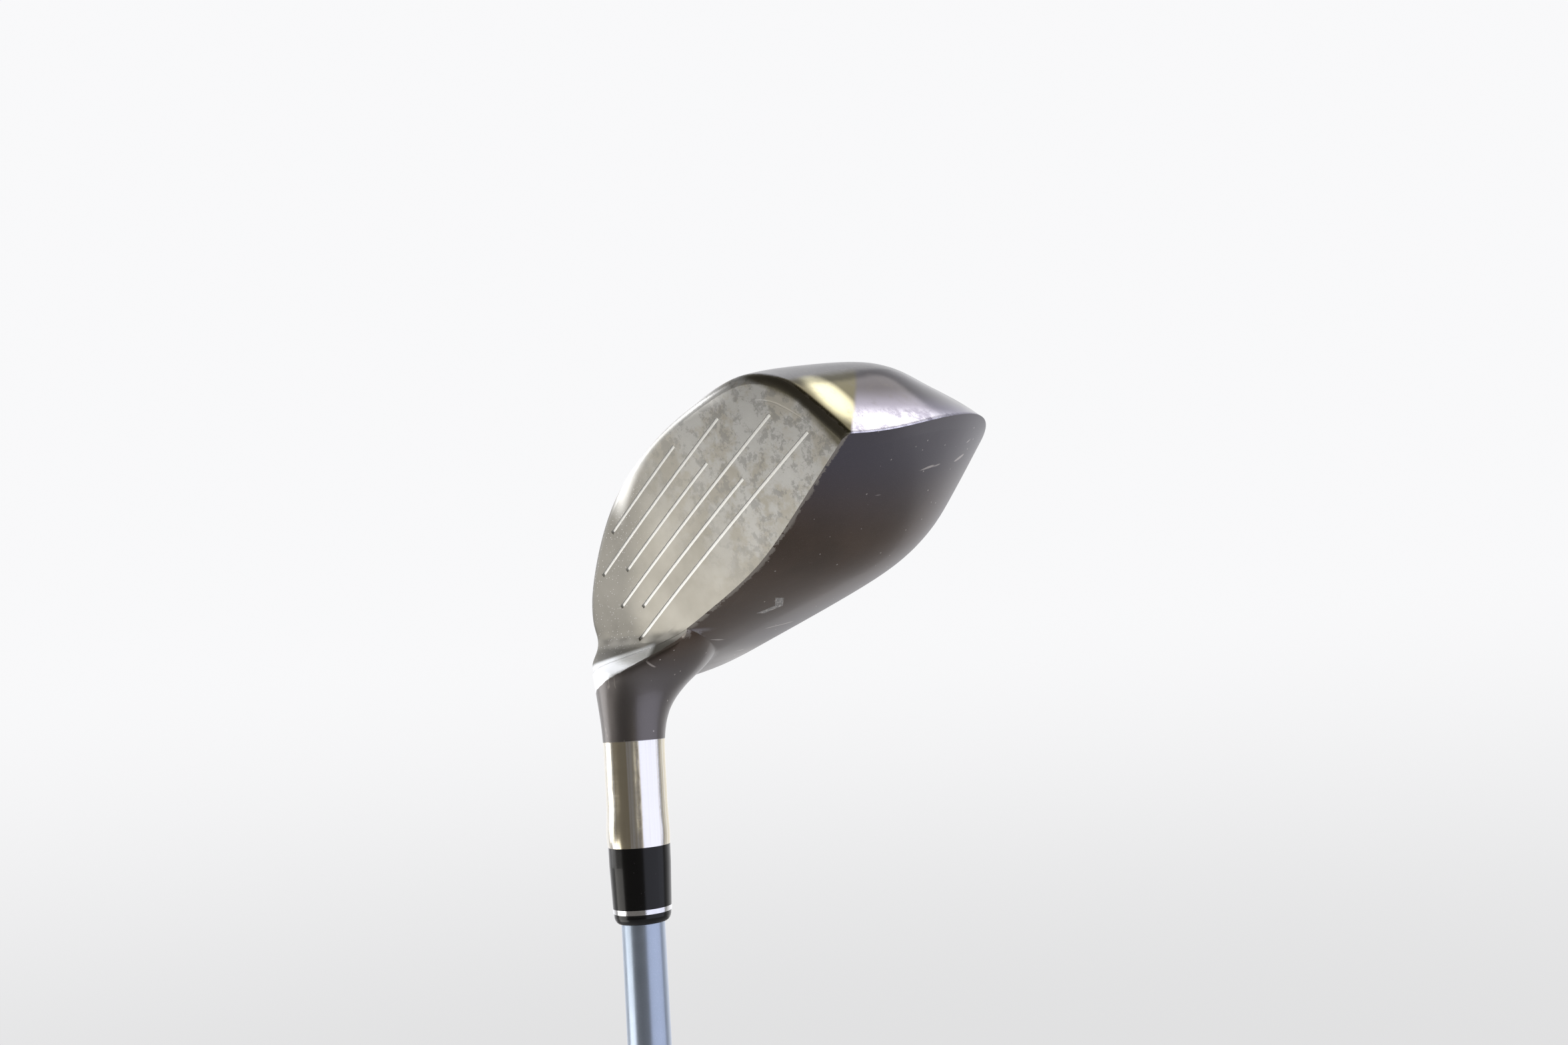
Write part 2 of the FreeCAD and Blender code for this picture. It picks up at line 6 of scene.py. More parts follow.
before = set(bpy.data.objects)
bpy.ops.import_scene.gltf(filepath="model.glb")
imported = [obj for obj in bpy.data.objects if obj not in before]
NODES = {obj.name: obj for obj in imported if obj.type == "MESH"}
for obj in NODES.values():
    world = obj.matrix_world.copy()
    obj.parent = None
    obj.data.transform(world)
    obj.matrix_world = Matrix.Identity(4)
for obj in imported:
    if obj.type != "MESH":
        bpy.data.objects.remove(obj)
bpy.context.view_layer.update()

# ------------------------------------------------------------------ sizes, in metres
CLUB_LENGTH = 1.022          # butt to the ground point on the shaft axis
LIE = math.radians(60.0)
FACE_RADIUS = 0.5            # bulge and roll of the striking face
FACE_BALL = (-0.0408129, 0.4681318, 1.1656900)    # the centre of that bulge

# directions of the head
TO_TOE = (math.sin(LIE), 0, math.cos(LIE))
TO_FRONT = (0, -1, 0)
TO_CROWN = (math.cos(LIE), 0, -math.sin(LIE))
UP_SHAFT = (0, 0, -1)

# places up the shaft axis, each as where a change starts and where it ends
NECK_START = (0.0275, 0.0285)
NECK_LACQUER = (0.031, 0.038)
HOSEL_START = (0.04, 0.044)
BAND_START = (0.0504, 0.0506)
NECK_ROOT = ((0.0300, 0.0325), (0.049, 0.046))

# soft edges
NECK_ROUNDING = 0.0025
CREASE_ROUNDING = 0.0012


# ------------------------------------------------------------------ colours of the head
FACE_STEEL = ((0.25, 0.238, 0.208), (0.33, 0.316, 0.282))
FACE_BLOTCH = (0.37, 0.38, 0.39)
FACE_MOTTLE = (0.17, 0.168, 0.162)
# painted shade for the face low down towards the heel
FACE_LOW_SHADE = (0.145, 0.140, 0.128)
PIT = (0.70, 0.70, 0.70)
# painted shade where the face runs into the neck
NECK_FRONT_SHADE = (0.12, 0.115, 0.102)
POLISHED = (0.96, 0.98, 1.0)
# polished rim of the face, painted near white as a highlight
POLISHED_RIM_HIGHLIGHT = (0.93, 0.93, 0.92)
TOE_TURN = (0.095, 0.086, 0.060)
LINE_PAINT = (0.78, 0.78, 0.76)

LACQUER = ((0.044, 0.026, 0.014), (0.074, 0.046, 0.028))
LACQUER_TOE = (0.062, 0.056, 0.072)
# painted highlight on the crown's rear rim
LACQUER_REAR_HIGHLIGHT = (0.36, 0.35, 0.365)
LACQUER_NECK = (0.150, 0.138, 0.134)
SCRATCH = (0.60, 0.55, 0.51)
FLAKE = (0.30, 0.28, 0.30)
WORN_TOP_LINE = (0.30, 0.275, 0.235)

# dark olive of the skirt and the painted highlight that glows over it near the face
CHAMPAGNE_HIGHLIGHT = ((0.090, 0.080, 0.045), (0.68, 0.64, 0.44))
# violet grey of the rear skirt, brightening into a painted sheen
LAVENDER_SHEEN = ((0.070, 0.064, 0.074), (0.34, 0.325, 0.42))
SKIRT_MOTTLE = (0.10, 0.09, 0.085)
SKIRT_FRONT = (0.105, 0.092, 0.055)
SKIRT_RUB = (0.80, 0.79, 0.92)

SOLE_STEEL = ((0.15, 0.148, 0.155), (0.29, 0.285, 0.29))
HOSEL_BAND = ((0.66, 0.60, 0.46), (0.90, 0.89, 0.88))


# ------------------------------------------------------------------ node building
SPECK_CORE = 0.6             # the share of a speck's radius that is wholly inside it
BEVEL_SAMPLES = 6


class Graph:
    """A material's node tree, built with short calls."""

    def __init__(self, name):
        self.material = bpy.data.materials.new(name)
        self.material.use_nodes = True
        self.tree = self.material.node_tree
        self.bsdf = self.tree.nodes["Principled BSDF"]
        self.coords = self.tree.nodes.new("ShaderNodeTexCoord")
        self.place = self.coords.outputs["Object"]
        self.facing = self.coords.outputs["Normal"]

    def put(self, socket, value):
        """Link a node's output to a socket, or set its value."""
        if isinstance(value, bpy.types.NodeSocket):
            self.tree.links.new(value, socket)
        elif isinstance(value, (tuple, list)) and len(value) == 3 and socket.type == "RGBA":
            socket.default_value = (*value, 1.0)
        else:
            socket.default_value = value

    def math(self, operation, a, b=0.0):
        node = self.tree.nodes.new("ShaderNodeMath")
        node.operation = operation
        self.put(node.inputs[0], a)
        self.put(node.inputs[1], b)
        return node.outputs[0]

    def add(self, a, b):
        return self.math("ADD", a, b)

    def less(self, a, b):
        return self.math("SUBTRACT", a, b)

    def times(self, a, *others):
        for other in others:
            a = self.math("MULTIPLY", a, other)
        return a

    def squared(self, a):
        """The square of a value of either sign."""
        return self.math("POWER", self.math("ABSOLUTE", a), 2.0)

    def inverse(self, a):
        return self.less(1.0, a)

    def most(self, a, b):
        return self.math("MAXIMUM", a, b)

    def dot(self, vector, axis):
        node = self.tree.nodes.new("ShaderNodeVectorMath")
        node.operation = "DOT_PRODUCT"
        self.put(node.inputs[0], vector)
        node.inputs[1].default_value = axis
        return node.outputs["Value"]

    def distance(self, point):
        node = self.tree.nodes.new("ShaderNodeVectorMath")
        node.operation = "DISTANCE"
        self.put(node.inputs[0], self.place)
        node.inputs[1].default_value = point
        return node.outputs["Value"]

    def ramp(self, value, low, high):
        """0 below low and 1 above high, smooth between; low may be the larger."""
        node = self.tree.nodes.new("ShaderNodeMapRange")
        node.interpolation_type = "SMOOTHSTEP"
        flip = low > high
        self.put(node.inputs["Value"], value)
        node.inputs["From Min"].default_value = min(low, high)
        node.inputs["From Max"].default_value = max(low, high)
        node.inputs["To Min"].default_value = 1.0 if flip else 0.0
        node.inputs["To Max"].default_value = 0.0 if flip else 1.0
        return node.outputs["Result"]

    def mix(self, share, a, b):
        node = self.tree.nodes.new("ShaderNodeMix")
        node.data_type = "RGBA"
        self.put(node.inputs[0], share)
        self.put(node.inputs[6], a)
        self.put(node.inputs[7], b)
        return node.outputs[2]

    def blend(self, share, a, b):
        """Mix of two plain numbers."""
        node = self.tree.nodes.new("ShaderNodeMix")
        node.data_type = "FLOAT"
        self.put(node.inputs[0], share)
        self.put(node.inputs[2], a)
        self.put(node.inputs[3], b)
        return node.outputs[0]

    def stretched(self, scale, turn=(0.0, 0.0, 0.0), shift=(0.0, 0.0, 0.0)):
        node = self.tree.nodes.new("ShaderNodeMapping")
        self.put(node.inputs["Vector"], self.place)
        node.inputs["Location"].default_value = shift
        node.inputs["Rotation"].default_value = turn
        node.inputs["Scale"].default_value = scale
        return node.outputs["Vector"]

    def noise(self, scale, detail=3.0, roughness=0.55, vector=None):
        node = self.tree.nodes.new("ShaderNodeTexNoise")
        self.put(node.inputs["Vector"], vector or self.place)
        node.inputs["Scale"].default_value = scale
        node.inputs["Detail"].default_value = detail
        node.inputs["Roughness"].default_value = roughness
        return node.outputs["Fac"]

    def specks(self, scale, size):
        """1 inside scattered round specks."""
        node = self.tree.nodes.new("ShaderNodeTexVoronoi")
        self.put(node.inputs["Vector"], self.place)
        node.inputs["Scale"].default_value = scale
        return self.ramp(node.outputs["Distance"], size, size * SPECK_CORE)

    def bump(self, height, distance, strength=1.0, normal=None):
        node = self.tree.nodes.new("ShaderNodeBump")
        node.inputs["Strength"].default_value = strength
        node.inputs["Distance"].default_value = distance
        self.put(node.inputs["Height"], height)
        if normal is not None:
            self.put(node.inputs["Normal"], normal)
        return node.outputs["Normal"]

    def rounded(self, radius):
        """Normals turned as if the edges were rounded to this radius."""
        node = self.tree.nodes.new("ShaderNodeBevel")
        node.samples = BEVEL_SAMPLES
        self.put(node.inputs["Radius"], radius)
        return node.outputs["Normal"]

    def finish(self, **values):
        for name, value in values.items():
            self.put(self.bsdf.inputs[name.replace("_", " ")], value)
        return self.material


def wear(material, *names):
    """The CAD nodes of these names take this material."""
    for name in names:
        mesh = NODES[name].data
        mesh.materials.clear()
        mesh.materials.append(material)


# ------------------------------------------------------------------ head
class Head:
    """Head coordinates, shared textures and the masks that say which finish shows where."""

    def __init__(self, g):
        self.g = g
        self.locate()
        self.depth = g.less(FACE_RADIUS, g.distance(FACE_BALL))
        self.broad = g.noise(38.0, 4.0, 0.6)
        self.mottle = g.noise(330.0, 6.0, 0.75)
        self.blotch = g.noise(95.0, 5.0, 0.7)
        self.ragged = g.times(g.add(g.noise(700.0, 4.0, 0.7), -0.5), 0.0009)
        self.divide()

    def locate(self):
        """Metres from heel to toe, rear to front, sole to crown, and s up the shaft axis."""
        g = self.g
        moved = g.stretched((1, 1, 1), shift=(0, 0, -CLUB_LENGTH))
        self.x = g.dot(moved, TO_TOE)
        self.y = g.dot(moved, TO_FRONT)
        self.z = g.dot(moved, TO_CROWN)
        self.s = g.dot(moved, UP_SHAFT)

    def divide(self):
        """Split the head into face, crown, neck, hosel band and sole."""
        g = self.g
        faces_front = g.dot(g.facing, TO_FRONT)
        faces_up = g.dot(g.facing, TO_CROWN)
        at_neck = g.ramp(self.s, *NECK_START)
        front = g.most(g.ramp(faces_front, 0.52, 0.62), g.times(at_neck, g.ramp(faces_front, 0.05, 0.15)))
        line = g.add(g.times(g.math("MINIMUM", g.add(self.x, 0.013), 0.0), 0.16), 0.0335)
        above = g.less(g.add(self.z, self.ragged), line)
        self.neck = g.times(g.ramp(above, 0.0, 0.0003), at_neck)
        self.face = g.times(front, g.inverse(self.neck))
        self.up = g.ramp(faces_up, 0.30, 0.36)
        self.under = g.ramp(faces_up, -0.30, -0.42)
        self.hosel = g.ramp(self.s, *HOSEL_START)
        self.band = g.ramp(self.s, *BAND_START)
        self.crown = g.times(self.up, g.inverse(self.face), g.inverse(self.band))
        self.satin = g.ramp(self.s, *NECK_LACQUER)

    def lacquered(self):
        """Where the dark lacquer covers the casting: crown, neck and the hosel below its band."""
        g = self.g
        dark = g.most(self.crown, g.times(self.neck, g.inverse(self.band)))
        return g.most(dark, g.times(self.hosel, g.inverse(g.most(self.band, self.face))))


def face_look(g, head):
    """Warm satin steel, blotchy towards the toe, with painted shade low down and by the neck, and a painted
    highlight along its rim.
    """
    x, z, s = head.x, head.z, head.s
    rim_z = g.add(g.times(g.squared(g.add(x, -0.025)), 12.5), 0.0015)
    from_rim = g.less(z, rim_z)
    toeward = g.ramp(x, 0.006, 0.045)
    tone = g.mix(g.ramp(head.broad, 0.35, 0.7), *FACE_STEEL)
    tone = g.mix(g.times(g.ramp(head.blotch, 0.46, 0.58), toeward, 0.50), tone, FACE_BLOTCH)
    tone = g.mix(g.times(g.ramp(head.mottle, 0.50, 0.58), toeward, 0.60), tone, FACE_MOTTLE)
    # painted shade: the face darkens low down towards the heel; the pits keep to the same zone
    low = g.times(g.ramp(from_rim, 0.013, 0.002), g.ramp(x, 0.026, 0.008))
    tone = g.mix(g.times(low, 0.70), tone, FACE_LOW_SHADE)
    pits = g.times(g.specks(1500.0, 0.17), low)
    tone = g.mix(g.times(pits, 0.8), tone, PIT)
    # painted shade: darkened where the face turns into the neck, against its bright reflection
    wedge = g.times(g.ramp(s, 0.0275, 0.0300), g.ramp(x, -0.0105, -0.0080))
    tone = g.mix(g.times(wedge, 0.75), tone, NECK_FRONT_SHADE)
    slanted = g.add(s, g.times(x, 0.18))
    polished = g.times(g.ramp(slanted, 0.0283, 0.0293), g.ramp(x, -0.0065, -0.0085))
    tone = g.mix(polished, tone, POLISHED)
    # painted highlight: the polished rim along the leading edge is painted near white
    rim = g.times(g.ramp(from_rim, 0.0040, 0.0006), g.ramp(x, 0.004, 0.016), g.ramp(x, 0.052, 0.040))
    tone = g.mix(rim, tone, POLISHED_RIM_HIGHLIGHT)
    toe_line = g.add(g.times(g.math("MINIMUM", g.add(z, -0.022), 0.0), 0.52), 0.0598)
    toe_turn = g.ramp(g.less(g.add(x, head.ragged), toe_line), -0.0004, 0.0012)
    tone = g.mix(g.times(toe_turn, 0.93), tone, TOE_TURN)
    rough = g.blend(g.most(rim, polished), g.blend(head.blotch, 0.50, 0.34), 0.24)
    return tone, rough, pits


def painted_rear_highlight(g, head):
    """Painted highlight: rises from the middle of the crown to its rear rim, and stops short of the neck."""
    back = g.less(g.times(head.y, -1.0), g.times(head.x, 0.65))
    return g.times(g.ramp(back, 0.000, 0.044), g.ramp(head.s, 0.034, 0.028))


def lacquer_look(g, head, rear):
    """Gunmetal lacquer, paler at the rear rim as a painted highlight and paler on the neck, with small
    scratches and flakes.
    """
    tone = g.mix(g.ramp(head.broad, 0.3, 0.75), *LACQUER)
    tone = g.mix(g.ramp(head.x, 0.036, 0.060), tone, LACQUER_TOE)
    # painted highlight: the lacquer pales towards the rear rim
    tone = g.mix(g.times(g.math("POWER", rear, 1.5), 0.75), tone, LACQUER_REAR_HIGHLIGHT)
    tone = g.mix(head.satin, tone, LACQUER_NECK)
    scratch_space = g.stretched((500.0, 60.0, 130.0), turn=(0.3, 0.5, 0.9))
    scratches = g.ramp(g.noise(1.0, 2.0, 0.5, vector=scratch_space), 0.70, 0.73)
    chips = g.specks(330.0, 0.075)
    tone = g.mix(g.times(g.most(scratches, chips), 0.55), tone, SCRATCH)
    flakes = g.ramp(g.noise(5200.0, 2.0, 0.6), 0.55, 0.75)
    tone = g.mix(g.times(flakes, 0.10), tone, FLAKE)
    rough = g.blend(rear, g.blend(head.broad, 0.24, 0.34), 0.50)
    return tone, g.blend(head.satin, rough, 0.36)


def worn_top_line(g, head):
    """Ragged wear where the crown meets the face, short of the neck."""
    near_face = g.ramp(head.depth, 0.0017, 0.0004)
    top_line = g.times(near_face, g.inverse(g.ramp(head.s, 0.028, 0.031)))
    worn = g.ramp(g.add(head.mottle, g.times(top_line, 0.20)), 0.60, 0.64)
    return g.times(worn, top_line, g.inverse(head.face))


def skirt_look(g, head):
    """Toe skirt: a painted pale-gold highlight near the face, violet grey behind the step with a painted sheen
    towards the crease, rubbed below the crease.
    """
    y, z = head.y, head.z
    behind = g.ramp(g.less(y, g.times(g.add(z, -0.0249), 0.676)), -0.0072, -0.0086)
    # painted highlight: a gold glow over the olive skirt near the face
    along = g.less(y, g.times(g.add(z, -0.021), -0.28))
    glow_y = g.squared(g.times(g.add(along, 0.0036), 1 / 0.0042))
    glow_z = g.squared(g.times(g.add(z, -0.0215), 1 / 0.0085))
    champagne_highlight = g.mix(g.ramp(g.add(glow_y, glow_z), 1.6, 0.0), *CHAMPAGNE_HIGHLIGHT)
    # violet grey paint, with a painted sheen growing towards the crease
    lavender_sheen = g.mix(g.ramp(z, 0.0185, 0.0290), *LAVENDER_SHEEN)
    tone = g.mix(behind, champagne_highlight, lavender_sheen)
    tone = g.mix(g.times(g.ramp(head.mottle, 0.50, 0.75), 0.35), tone, SKIRT_MOTTLE)
    tone = g.mix(g.ramp(y, -0.0025, 0.0015), tone, SKIRT_FRONT)
    rub = g.times(g.ramp(z, 0.0240, 0.0285), behind, g.ramp(head.mottle, 0.36, 0.56))
    return g.mix(g.times(rub, 0.8), tone, SKIRT_RUB)


def sole_look(g):
    """Steel brushed from heel to toe."""
    brush = g.noise(1.0, 3.0, 0.6, vector=g.stretched((90.0, 2400.0, 2400.0), turn=(0, LIE, 0)))
    return g.mix(brush, *SOLE_STEEL)


def band_look(g):
    """Bright turned band on the hosel, streaked along the axis."""
    streaks = g.noise(1.0, 2.0, 0.6, vector=g.stretched((520.0, 520.0, 2.0)))
    turned = g.noise(1.0, 2.0, 0.6, vector=g.stretched((60.0, 60.0, 5200.0)))
    return g.mix(g.ramp(streaks, 0.42, 0.58), *HOSEL_BAND), g.blend(turned, 0.12, 0.26)


def soft_edges(g, head):
    """Rounded normals at the root of the neck and along the toe crease."""
    rise, fall = NECK_ROOT
    near_neck = g.times(g.ramp(head.s, *rise), g.ramp(head.s, *fall))
    crease = g.times(g.ramp(head.z, 0.014, 0.018), g.inverse(head.up), g.ramp(head.x, 0.030, 0.040))
    return g.rounded(g.add(g.times(near_neck, NECK_ROUNDING), g.times(crease, CREASE_ROUNDING)))


def head_finish(name, scored=False, rounded=False):
    """Satin face, dark gloss crown and neck, bright toe skirt (partly painted highlight and sheen) and sole,
    all in one casting.
    """
    g = Graph(name)
    head = Head(g)
    face_tone, face_rough, pits = face_look(g, head)
    rear = painted_rear_highlight(g, head)
    lacquer_tone, lacquer_rough = lacquer_look(g, head, rear)
    band_tone, band_rough = band_look(g)
    dark = head.lacquered()

    tone = g.mix(head.under, skirt_look(g, head), sole_look(g))
    tone = g.mix(head.face, tone, face_tone)
    tone = g.mix(dark, tone, lacquer_tone)
    tone = g.mix(g.times(worn_top_line(g, head), 0.75), tone, WORN_TOP_LINE)
    tone = g.mix(head.band, tone, band_tone)

    metal = g.blend(dark, 1.0, g.blend(head.satin, 0.45, 0.90))
    rough = g.blend(head.under, 0.17, 0.30)
    rough = g.blend(head.face, rough, face_rough)
    rough = g.blend(dark, rough, lacquer_rough)
    rough = g.blend(head.band, rough, band_rough)
    if scored:
        line_fill = g.ramp(head.depth, 0.00008, 0.00016)
        tone = g.mix(line_fill, tone, LINE_PAINT)
        rough = g.blend(line_fill, rough, 0.5)
    coat = g.times(dark, g.blend(rear, 0.20, 0.0))
    grain = g.times(g.noise(2600.0, 3.0, 0.7), g.blend(head.face, 0.1, 1.0))
    relief = g.add(grain, g.times(pits, -1.5))
    normal = g.bump(relief, 0.00003, 0.6, normal=soft_edges(g, head) if rounded else None)
    return g.finish(Base_Color=tone, Metallic=metal, Roughness=rough, Coat_Weight=coat,
                    Specular_IOR_Level=0.30, Coat_Roughness=0.10, Normal=normal)


def plain(name, dark, light, rough):
    """One cloudy metallic finish; the small set pieces and the hidden ones wear it."""
    g = Graph(name)
    cloud = g.noise(900.0, 4.0, 0.6)
    fine = g.noise(5400.0, 2.0, 0.6)
    return g.finish(Base_Color=g.mix(cloud, dark, light), Metallic=1.0,
                    Roughness=g.blend(cloud, rough * 0.8, rough * 1.3), Normal=g.bump(fine, 0.00002, 0.5))


def mark_finish():
    """The sighting mark: grey lacquer, scuffed pale in patches."""
    g = Graph("mark_finish")
    scuffs = g.ramp(g.noise(1100.0, 4.0, 0.65), 0.48, 0.62)
    tone = g.mix(scuffs, (0.20, 0.19, 0.18), (0.50, 0.47, 0.43))
    return g.finish(Base_Color=tone, Metallic=0.6, Roughness=g.blend(scuffs, 0.2, 0.45), Coat_Weight=0.5)


# ------------------------------------------------------------------ shaft, ferrule, grip
ALONG_SHAFT = (0, 0, 1)
BAND_STRIPES = 520.0         # radians for each metre
CORD_PITCH = 1700.0          # radians for each metre
CORD_STARTS = 16.0           # cords side by side round the grip, each way
RING_PITCH = 140.0           # radians for each metre


def shaft_finish():
    """Metallic blue-grey lacquer over wound fibre."""
    g = Graph("shaft_finish")
    flake = g.noise(4200.0, 2.0, 0.7)
    winding = g.noise(1.0, 2.0, 0.5, vector=g.stretched((160.0, 160.0, 420.0), turn=(0.5, 0.0, 0.0)))
    tone = g.mix(g.noise(60.0, 3.0), (0.34, 0.41, 0.50), (0.43, 0.50, 0.62))
    tone = g.mix(g.times(g.ramp(flake, 0.52, 0.72), 0.35), tone, (0.56, 0.61, 0.74))
    rough = g.blend(winding, 0.26, 0.36)
    return g.finish(Base_Color=tone, Metallic=0.85, Roughness=rough, Coat_Weight=0.3,
                    Coat_Roughness=0.06, Normal=g.bump(winding, 0.00002, 0.4))


def band_film():
    """Pale film with dark blue stripes round the shaft."""
    g = Graph("band_film")
    z = g.dot(g.place, ALONG_SHAFT)
    stripes = g.ramp(g.math("SINE", g.times(z, BAND_STRIPES)), 0.80, 0.86)
    tone = g.mix(stripes, (0.72, 0.74, 0.80), (0.10, 0.14, 0.26))
    tone = g.mix(g.times(g.noise(700.0, 4.0), 0.12), tone, (0.4, 0.4, 0.42))
    rough = g.blend(g.noise(300.0), 0.2, 0.34)
    return g.finish(Base_Color=tone, Metallic=0.4, Roughness=rough, Coat_Weight=0.6)


def black_gloss():
    """Polished black plastic with a little dust."""
    g = Graph("black_gloss")
    dust = g.specks(900.0, 0.10)
    tone = g.mix(g.times(dust, 0.12), (0.004, 0.004, 0.004), (0.30, 0.29, 0.28))
    haze = g.noise(220.0, 4.0, 0.6)
    return g.finish(Base_Color=tone, Roughness=g.blend(haze, 0.14, 0.26), Specular_IOR_Level=0.32,
                    Normal=g.bump(haze, 0.00002, 0.3))


def grip_finish():
    """Black rubber with a fine diagonal cord texture and rubbed patches."""
    g = Graph("grip_finish")
    z = g.dot(g.place, ALONG_SHAFT)
    x = g.dot(g.place, (1, 0, 0))
    y = g.dot(g.place, (0, 1, 0))
    angle = g.math("ARCTAN2", y, x)
    ways = []
    for way in (1.0, -1.0):
        wave = g.math("SINE", g.add(g.times(z, CORD_PITCH), g.times(angle, CORD_STARTS * way)))
        ways.append(g.ramp(wave, 0.0, 0.9))
    diamonds = g.times(ways[0], ways[1])
    rings = g.ramp(g.math("SINE", g.times(z, RING_PITCH)), -0.92, -0.98)
    pores = g.noise(2400.0, 3.0, 0.7)
    rubbed = g.ramp(g.noise(45.0, 4.0), 0.45, 0.7)
    tone = g.mix(diamonds, (0.016, 0.016, 0.017), (0.045, 0.045, 0.048))
    tone = g.mix(g.times(rubbed, 0.25), tone, (0.085, 0.083, 0.082))
    height = g.add(g.add(diamonds, g.times(pores, 0.25)), g.times(rings, -1.6))
    rough = g.blend(rubbed, 0.75, 0.5)
    return g.finish(Base_Color=tone, Roughness=rough, Normal=g.bump(height, 0.00025, 0.9))


# ------------------------------------------------------------------ who wears what
# name of the finish, darkest and lightest colour, roughness, and the pieces that wear it
PLAIN_FINISHES = (
    ("weight_steel", (0.20, 0.20, 0.21), (0.42, 0.42, 0.44), 0.28, ("toe_weight", "heel_weight")),
    ("screw_steel", (0.10, 0.10, 0.11), (0.26, 0.26, 0.28), 0.32, ("toe_weight_screw", "heel_weight_screw")),
    ("ring_silver", (0.68, 0.68, 0.70), (0.92, 0.92, 0.93), 0.12, ("ferrule_ring",)),
    ("pin_brass", (0.50, 0.34, 0.12), (0.80, 0.60, 0.28), 0.35, ("tip_weight",)),
    ("set_adhesive", (0.50, 0.42, 0.28), (0.66, 0.58, 0.42), 0.6, ("hot_melt_pad", "hosel_plug", "grip_tape")),
)

wear(head_finish("casting_finish", rounded=True), "body_casting")
wear(head_finish("plate_finish"), "crown_plate", "sole_plate")
wear(head_finish("scored_face", scored=True), "face_plate")
wear(mark_finish(), "alignment_inlay")
for title, dark, light, rough, names in PLAIN_FINISHES:
    wear(plain(title, dark, light, rough), *names)
wear(black_gloss(), "ferrule_body", "ferrule_cap")
wear(shaft_finish(), "shaft")
wear(band_film(), "shaft_band")
wear(grip_finish(), "grip", "grip_cap")
for node in NODES.values():
    for polygon in node.data.polygons:
        polygon.use_smooth = True


# ------------------------------------------------------------------ floor, world, light, camera
FLOOR_RADIUS = 2.2
FLOOR_SIDES = 96
FLOOR_Z = -0.001             # just clear of the butt end
HEAD_CENTRE = (0.015, 0.0, 1.0)

# what the camera sees of the sweep, by the ray's rise
SWEEP_RISE = (-0.29, 0.06)
SWEEP_LOW = (0.750, 0.750, 0.755)
SWEEP_HIGH = (0.945, 0.945, 0.955)

# what lights the object: bright on the far left side
BRIGHT_SIDE = (-0.73, 0.67, 0.14)
BRIGHT_SPAN = (0.12, 0.90)
DIM_LIGHT = (0.16, 0.15, 0.14)
FULL_LIGHT = (1.15, 1.15, 1.17)

# name, place, width and height, watts, colour
LAMPS = (
    ("key", (-0.85, -1.15, 0.28), (1.2, 0.9), 9.0, (1.0, 0.98, 0.94)),
    ("left", (-1.22, -0.72, 1.32), (0.8, 1.2), 7.5, (1.0, 1.0, 1.0)),
    ("right", (1.28, 0.46, 0.98), (2.4, 1.6), 13.0, (0.80, 0.83, 1.0)),
    ("gold", (0.86, -0.60, 1.16), (0.14, 0.42), 0.30, (1.0, 0.90, 0.62)),
    ("above", (0.22, 0.62, 2.0), (0.45, 0.45), 1.1, (1.0, 0.97, 0.90)),
)

CAMERA_PLACE = (0.2222993, -0.1534103, 0.9786470)
CAMERA_RIGHT = (0.6643248, 0.7440909, -0.0707196)
CAMERA_UP = (0.1538324, -0.0435225, 0.9871380)
CAMERA_BACK = (0.7314425, -0.6666592, -0.1433784)
CAMERA_LENS = 27.539
CAMERA_SENSOR = 36.0
CAMERA_NEAREST = 0.01


def make_floor():
    mesh = bpy.data.meshes.new("floor")
    turns = (2 * math.pi * k / FLOOR_SIDES for k in range(FLOOR_SIDES))
    ring = [(FLOOR_RADIUS * math.cos(a), FLOOR_RADIUS * math.sin(a), FLOOR_Z) for a in turns]
    mesh.from_pydata(ring, [], [list(range(FLOOR_SIDES))])
    floor = bpy.data.objects.new("floor", mesh)
    bpy.context.scene.collection.objects.link(floor)
    g = Graph("floor_paint")
    tone = g.mix(g.noise(9.0, 4.0), (0.74, 0.735, 0.73), (0.80, 0.795, 0.79))
    mesh.materials.append(g.finish(Base_Color=tone, Roughness=0.85))


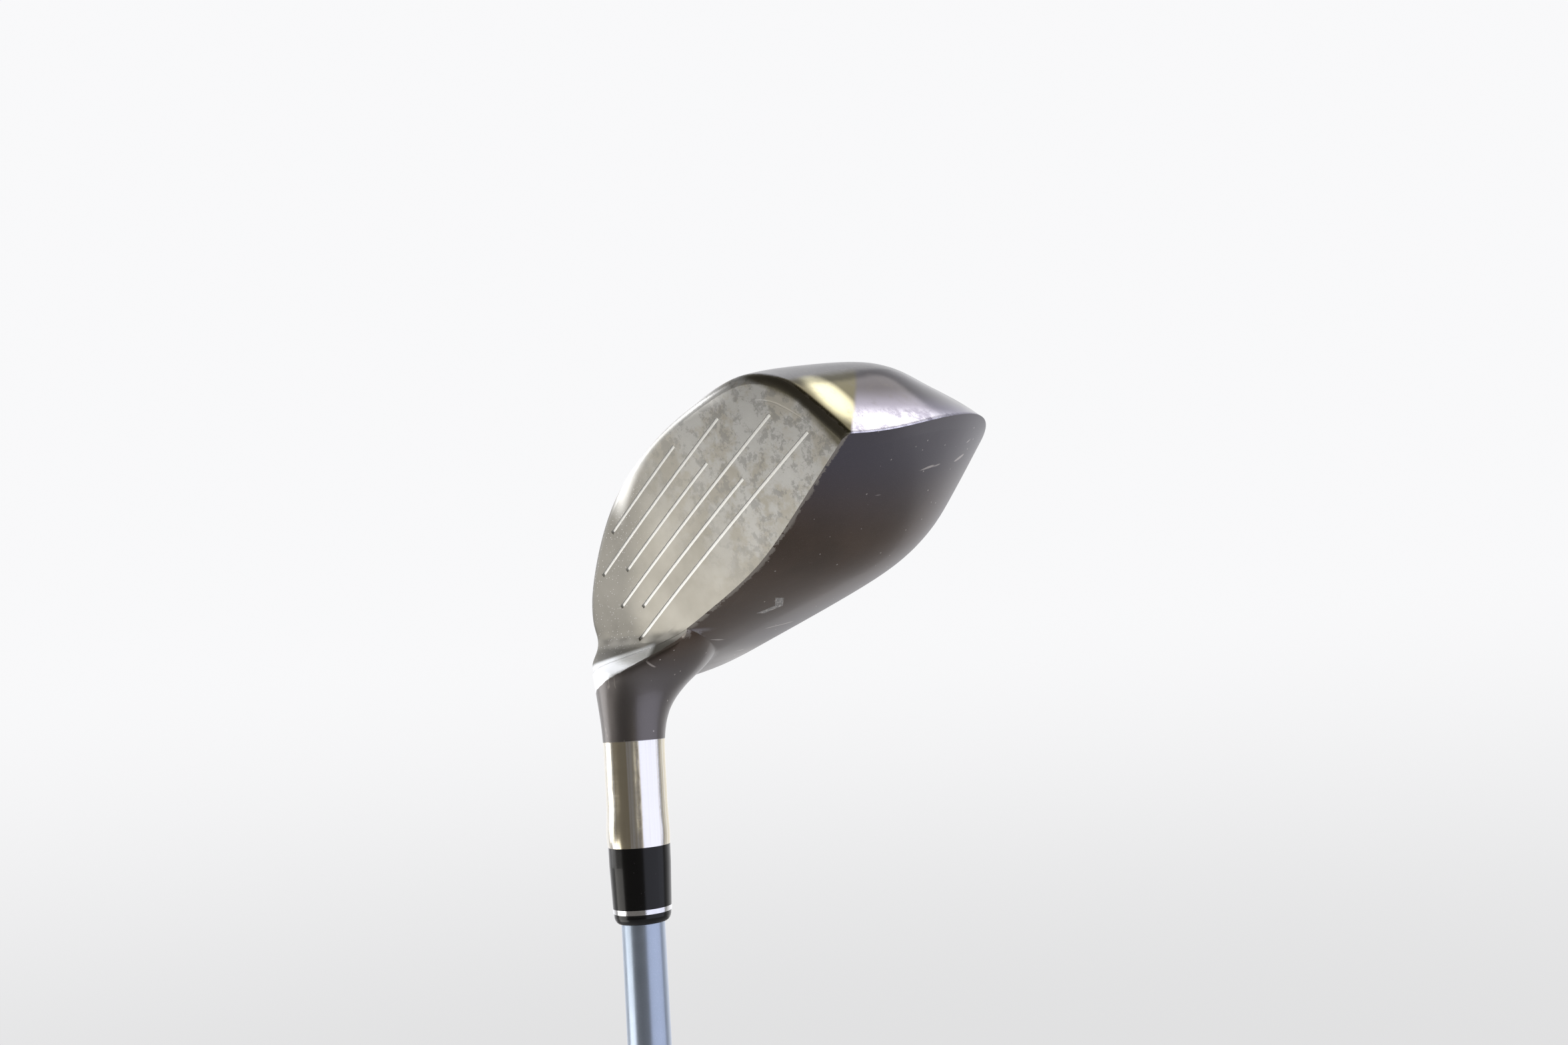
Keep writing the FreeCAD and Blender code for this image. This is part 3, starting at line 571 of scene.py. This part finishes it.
def make_world():
    """A white sweep as the camera sees it; the object is lit by its bright far side."""
    world = bpy.data.worlds.new("studio")
    world.use_nodes = True
    tree = world.node_tree
    link = tree.links.new
    coords = tree.nodes.new("ShaderNodeTexCoord").outputs["Generated"]

    def gradient(axis, span_ends, colour_low, colour_high):
        along = tree.nodes.new("ShaderNodeVectorMath")
        along.operation = "DOT_PRODUCT"
        link(coords, along.inputs[0])
        along.inputs[1].default_value = axis
        span = tree.nodes.new("ShaderNodeMapRange")
        span.interpolation_type = "SMOOTHSTEP"
        link(along.outputs["Value"], span.inputs["Value"])
        span.inputs["From Min"].default_value, span.inputs["From Max"].default_value = span_ends
        mix = tree.nodes.new("ShaderNodeMix")
        mix.data_type = "RGBA"
        link(span.outputs["Result"], mix.inputs[0])
        mix.inputs[6].default_value = (*colour_low, 1.0)
        mix.inputs[7].default_value = (*colour_high, 1.0)
        return mix.outputs[2]

    seen = gradient((0, 0, 1), SWEEP_RISE, SWEEP_LOW, SWEEP_HIGH)
    light = gradient(BRIGHT_SIDE, BRIGHT_SPAN, DIM_LIGHT, FULL_LIGHT)
    path = tree.nodes.new("ShaderNodeLightPath")
    pick = tree.nodes.new("ShaderNodeMix")
    pick.data_type = "RGBA"
    link(path.outputs["Is Camera Ray"], pick.inputs[0])
    link(light, pick.inputs[6])
    link(seen, pick.inputs[7])
    link(pick.outputs[2], tree.nodes["Background"].inputs["Color"])
    bpy.context.scene.world = world


def area_light(name, place, size, watts, colour):
    """A soft rectangular lamp that points at the head and that the camera doesn't see."""
    data = bpy.data.lights.new(name, "AREA")
    data.shape = "RECTANGLE"
    data.size, data.size_y = size
    data.energy = watts
    data.color = colour
    lamp = bpy.data.objects.new(name, data)
    lamp.location = place
    towards = Vector(HEAD_CENTRE) - Vector(place)
    lamp.rotation_euler = towards.to_track_quat("-Z", "Y").to_euler()
    lamp.visible_camera = False
    bpy.context.scene.collection.objects.link(lamp)


def make_camera():
    data = bpy.data.cameras.new("camera")
    data.sensor_fit = "HORIZONTAL"
    data.sensor_width = CAMERA_SENSOR
    data.lens = CAMERA_LENS
    data.clip_start = CAMERA_NEAREST
    camera = bpy.data.objects.new("camera", data)
    axes = Matrix((CAMERA_RIGHT, CAMERA_UP, CAMERA_BACK)).transposed()
    camera.matrix_world = Matrix.Translation(CAMERA_PLACE) @ axes.to_4x4()
    bpy.context.scene.collection.objects.link(camera)
    bpy.context.scene.camera = camera


make_floor()
make_world()
for lamp in LAMPS:
    area_light(*lamp)
make_camera()
bpy.context.scene.view_settings.view_transform = "Standard"
